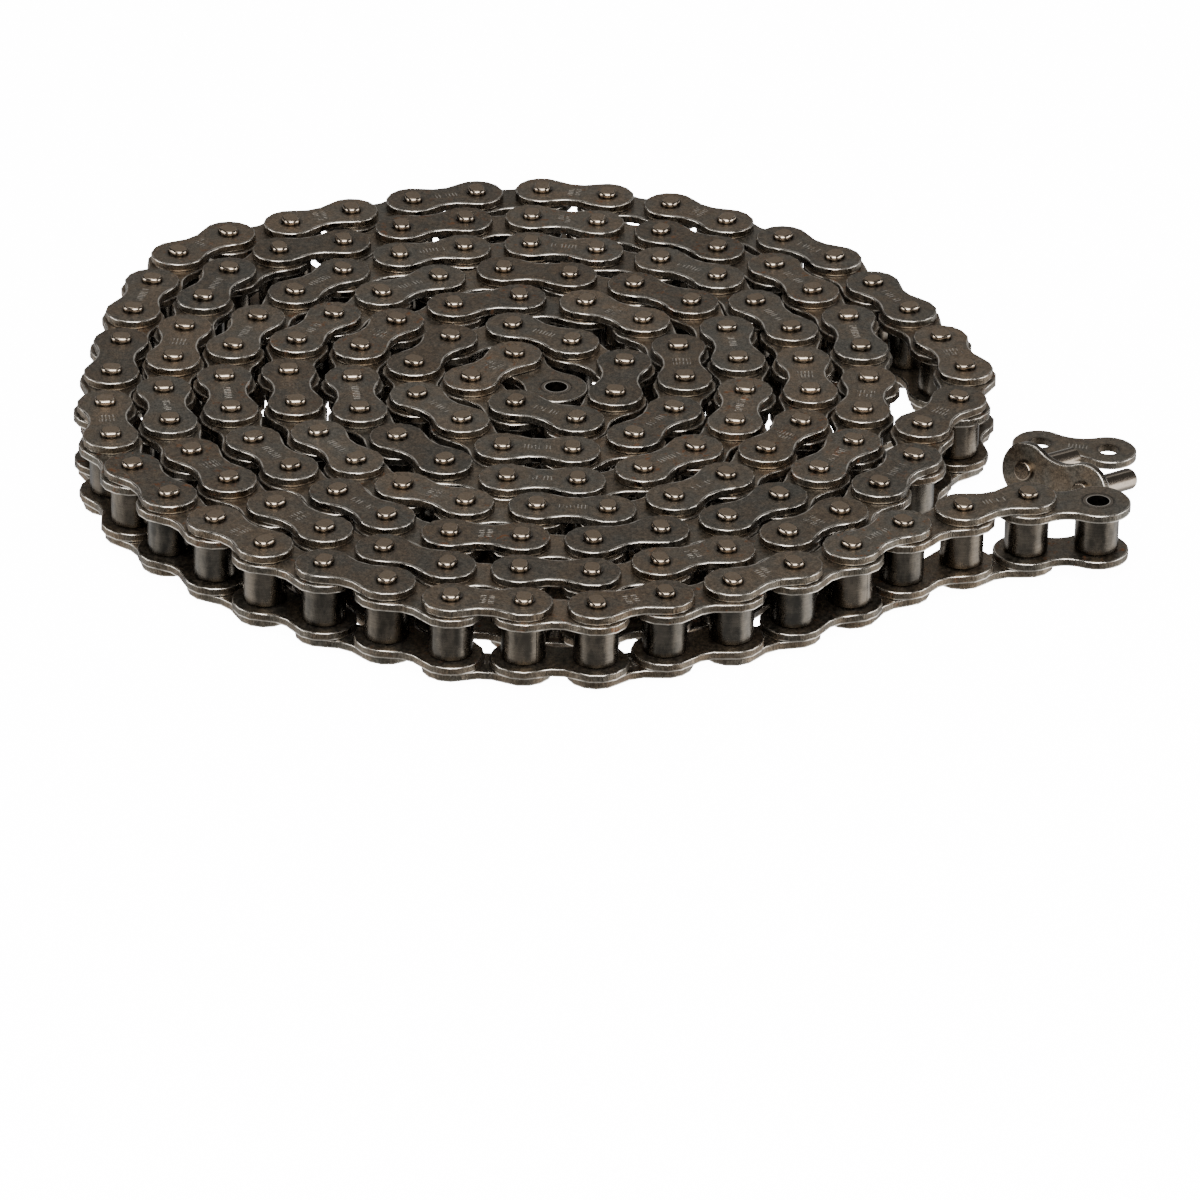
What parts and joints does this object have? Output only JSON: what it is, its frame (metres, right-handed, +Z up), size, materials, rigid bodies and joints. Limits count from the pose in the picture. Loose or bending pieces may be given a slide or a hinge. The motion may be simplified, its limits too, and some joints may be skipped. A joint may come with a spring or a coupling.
{
  "type": "roller chain",
  "caption": "Half-inch-pitch steel roller chain laid down as a flat coil, its outer end free to swing, with its loose connecting link and cover plate.",
  "frame": {"origin": "centre of the plan box of the coil and its loose pieces, on the plane they rest on", "axes": "+Z up, along the chain pins; +X to the right and +Y away from a person who faces the free end from the front"},
  "size_m": [0.195, 0.1776, 0.0161],
  "materials": {
    "inner_plate": "oiled dark steel",
    "outer_plate": "oiled dark steel",
    "pin": "bronze-tinted steel",
    "bushing": "dark steel",
    "roller": "dark polished steel"
  },
  "bodies": {
    "coil": {"coil_inner_lower_plates": "inner_plate", "coil_inner_upper_plates": "inner_plate", "coil_bushings": "bushing", "coil_rollers": "roller", "coil_outer_lower_plates": "outer_plate", "coil_outer_upper_plates": "outer_plate", "coil_pins": "pin", "roller_link_159_lower_plate": "inner_plate", "roller_link_159_upper_plate": "inner_plate", "roller_link_159_bushings": "bushing"},
    "link_20": {"pin_link_20": "outer_plate"},
    "link_19": {"roller_link_19": "inner_plate"},
    "link_18": {"pin_link_18": "outer_plate"},
    "link_17": {"roller_link_17": "inner_plate"},
    "link_16": {"pin_link_16": "outer_plate"},
    "link_15": {"roller_link_15": "inner_plate"},
    "link_14": {"pin_link_14": "outer_plate"},
    "link_13": {"roller_link_13": "inner_plate"},
    "link_12": {"pin_link_12": "outer_plate"},
    "link_11": {"roller_link_11": "inner_plate"},
    "link_10": {"pin_link_10": "outer_plate"},
    "link_09": {"roller_link_09": "inner_plate"},
    "link_08": {"pin_link_08_lower_plate": "outer_plate", "pin_link_08_upper_plate": "outer_plate", "pin_link_08_pins": "pin"},
    "link_07": {"roller_link_07_lower_plate": "inner_plate", "roller_link_07_upper_plate": "inner_plate", "roller_link_07_bushings": "bushing"},
    "link_06": {"pin_link_06_lower_plate": "outer_plate", "pin_link_06_upper_plate": "outer_plate", "pin_link_06_pins": "pin"},
    "link_05": {"roller_link_05_lower_plate": "inner_plate", "roller_link_05_upper_plate": "inner_plate", "roller_link_05_bushings": "bushing"},
    "link_04": {"pin_link_04_lower_plate": "outer_plate", "pin_link_04_upper_plate": "outer_plate", "pin_link_04_pins": "pin"},
    "link_03": {"roller_link_03_lower_plate": "inner_plate", "roller_link_03_upper_plate": "inner_plate", "roller_link_03_bushings": "bushing"},
    "link_02": {"pin_link_02_lower_plate": "outer_plate", "pin_link_02_upper_plate": "outer_plate", "pin_link_02_pins": "pin"},
    "link_01": {"roller_link_01_lower_plate": "inner_plate", "roller_link_01_upper_plate": "inner_plate", "roller_link_01_bushings": "bushing"},
    "roller_01_a": {"roller_link_01_roller_a": "roller"},
    "roller_01_b": {"roller_link_01_roller_b": "roller"},
    "roller_03_a": {"roller_link_03_roller_a": "roller"},
    "roller_03_b": {"roller_link_03_roller_b": "roller"},
    "roller_05_a": {"roller_link_05_roller_a": "roller"},
    "roller_05_b": {"roller_link_05_roller_b": "roller"},
    "roller_07_a": {"roller_link_07_roller_a": "roller"},
    "roller_07_b": {"roller_link_07_roller_b": "roller"},
    "roller_159_a": {"roller_link_159_roller_a": "roller"},
    "roller_159_b": {"roller_link_159_roller_b": "roller"},
    "connecting_link": {"connecting_plate": "outer_plate", "connecting_pins": "pin"},
    "cover_plate": {"cover_plate": "outer_plate"}
  },
  "joints": [
    {"name": "pin_hinge_20", "type": "hinge", "parent": "coil", "child": "link_20", "pos_m": [-0.09025, 0.01561, 0.00808], "axis": [0, 0, -1], "range_deg": [0, 24]},
    {"name": "pin_hinge_19", "type": "hinge", "parent": "link_20", "child": "link_19", "pos_m": [-0.09123, 0.00295, 0.00808], "axis": [0, 0, -1], "range_deg": [0, 24]},
    {"name": "pin_hinge_18", "type": "hinge", "parent": "link_19", "child": "link_18", "pos_m": [-0.0916, -0.00975, 0.00808], "axis": [0, 0, -1], "range_deg": [0, 24]},
    {"name": "pin_hinge_17", "type": "hinge", "parent": "link_18", "child": "link_17", "pos_m": [-0.08977, -0.02231, 0.00808], "axis": [0, 0, -1], "range_deg": [0, 24]},
    {"name": "pin_hinge_16", "type": "hinge", "parent": "link_17", "child": "link_16", "pos_m": [-0.08515, -0.03414, 0.00808], "axis": [0, 0, -1], "range_deg": [0, 24]},
    {"name": "pin_hinge_15", "type": "hinge", "parent": "link_16", "child": "link_15", "pos_m": [-0.078, -0.04464, 0.00808], "axis": [0, 0, -1], "range_deg": [0, 24]},
    {"name": "pin_hinge_14", "type": "hinge", "parent": "link_15", "child": "link_14", "pos_m": [-0.06925, -0.05385, 0.00808], "axis": [0, 0, -1], "range_deg": [0, 24]},
    {"name": "pin_hinge_13", "type": "hinge", "parent": "link_14", "child": "link_13", "pos_m": [-0.06016, -0.06272, 0.00808], "axis": [0, 0, -1], "range_deg": [0, 24]},
    {"name": "pin_hinge_12", "type": "hinge", "parent": "link_13", "child": "link_12", "pos_m": [-0.04945, -0.06954, 0.00808], "axis": [0, 0, -1], "range_deg": [0, 24]},
    {"name": "pin_hinge_11", "type": "hinge", "parent": "link_12", "child": "link_11", "pos_m": [-0.0382, -0.07543, 0.00808], "axis": [0, 0, -1], "range_deg": [0, 24]},
    {"name": "pin_hinge_10", "type": "hinge", "parent": "link_11", "child": "link_10", "pos_m": [-0.02689, -0.08121, 0.00808], "axis": [0, 0, -1], "range_deg": [0, 24]},
    {"name": "pin_hinge_09", "type": "hinge", "parent": "link_10", "child": "link_09", "pos_m": [-0.01423, -0.08222, 0.00808], "axis": [0, 0, -1], "range_deg": [0, 24]},
    {"name": "pin_hinge_08", "type": "hinge", "parent": "link_09", "child": "link_08", "pos_m": [-0.00155, -0.08295, 0.00808], "axis": [0, 0, -1], "range_deg": [0, 34]},
    {"name": "pin_hinge_07", "type": "hinge", "parent": "link_08", "child": "link_07", "pos_m": [0.0104, -0.07865, 0.00808], "axis": [0, 0, -1], "range_deg": [0, 34]},
    {"name": "pin_hinge_06", "type": "hinge", "parent": "link_07", "child": "link_06", "pos_m": [0.02211, -0.07375, 0.00808], "axis": [0, 0, -1], "range_deg": [0, 34]},
    {"name": "pin_hinge_05", "type": "hinge", "parent": "link_06", "child": "link_05", "pos_m": [0.03294, -0.0671, 0.00808], "axis": [0, 0, -1], "range_deg": [0, 34]},
    {"name": "pin_hinge_04", "type": "hinge", "parent": "link_05", "child": "link_04", "pos_m": [0.04315, -0.05955, 0.00808], "axis": [0, 0, -1], "range_deg": [0, 34]},
    {"name": "pin_hinge_03", "type": "hinge", "parent": "link_04", "child": "link_03", "pos_m": [0.05252, -0.05098, 0.00808], "axis": [0, 0, -1], "range_deg": [-5, 45]},
    {"name": "pin_hinge_02", "type": "hinge", "parent": "link_03", "child": "link_02", "pos_m": [0.06335, -0.04435, 0.00808], "axis": [0, 0, -1], "range_deg": [-15, 50]},
    {"name": "pin_hinge_01", "type": "hinge", "parent": "link_02", "child": "link_01", "pos_m": [0.07509, -0.0395, 0.00808], "axis": [0, 0, -1], "range_deg": [-75, 90]},
    {"name": "roller_spin_01_a", "type": "hinge", "parent": "link_01", "child": "roller_01_a", "pos_m": [0.08773, -0.03829, 0.00808], "axis": [0, 0, 1], "continuous": true},
    {"name": "roller_spin_01_b", "type": "hinge", "parent": "link_01", "child": "roller_01_b", "pos_m": [0.07509, -0.0395, 0.00808], "axis": [0, 0, 1], "continuous": true},
    {"name": "roller_spin_03_a", "type": "hinge", "parent": "link_03", "child": "roller_03_a", "pos_m": [0.06335, -0.04435, 0.00808], "axis": [0, 0, 1], "continuous": true},
    {"name": "roller_spin_03_b", "type": "hinge", "parent": "link_03", "child": "roller_03_b", "pos_m": [0.05252, -0.05098, 0.00808], "axis": [0, 0, 1], "continuous": true},
    {"name": "roller_spin_05_a", "type": "hinge", "parent": "link_05", "child": "roller_05_a", "pos_m": [0.04315, -0.05955, 0.00808], "axis": [0, 0, 1], "continuous": true},
    {"name": "roller_spin_05_b", "type": "hinge", "parent": "link_05", "child": "roller_05_b", "pos_m": [0.03294, -0.0671, 0.00808], "axis": [0, 0, 1], "continuous": true},
    {"name": "roller_spin_07_a", "type": "hinge", "parent": "link_07", "child": "roller_07_a", "pos_m": [0.02211, -0.07375, 0.00808], "axis": [0, 0, 1], "continuous": true},
    {"name": "roller_spin_07_b", "type": "hinge", "parent": "link_07", "child": "roller_07_b", "pos_m": [0.0104, -0.07865, 0.00808], "axis": [0, 0, 1], "continuous": true},
    {"name": "roller_spin_159_a", "type": "hinge", "parent": "coil", "child": "roller_159_a", "pos_m": [-0.01752, 0.0128, 0.00808], "axis": [0, 0, 1], "continuous": true},
    {"name": "roller_spin_159_b", "type": "hinge", "parent": "coil", "child": "roller_159_b", "pos_m": [-0.0097, 0.00279, 0.00808], "axis": [0, 0, 1], "continuous": true},
    {"name": "connecting_link_lift", "type": "slide", "parent": "coil", "child": "connecting_link", "axis": [0, 0, 1], "range_m": [0, 0.03]},
    {"name": "cover_plate_slide", "type": "slide", "parent": "coil", "child": "cover_plate", "axis": [0.1736, 0.9848, 0], "range_m": [0, 0.025]}
  ]
}
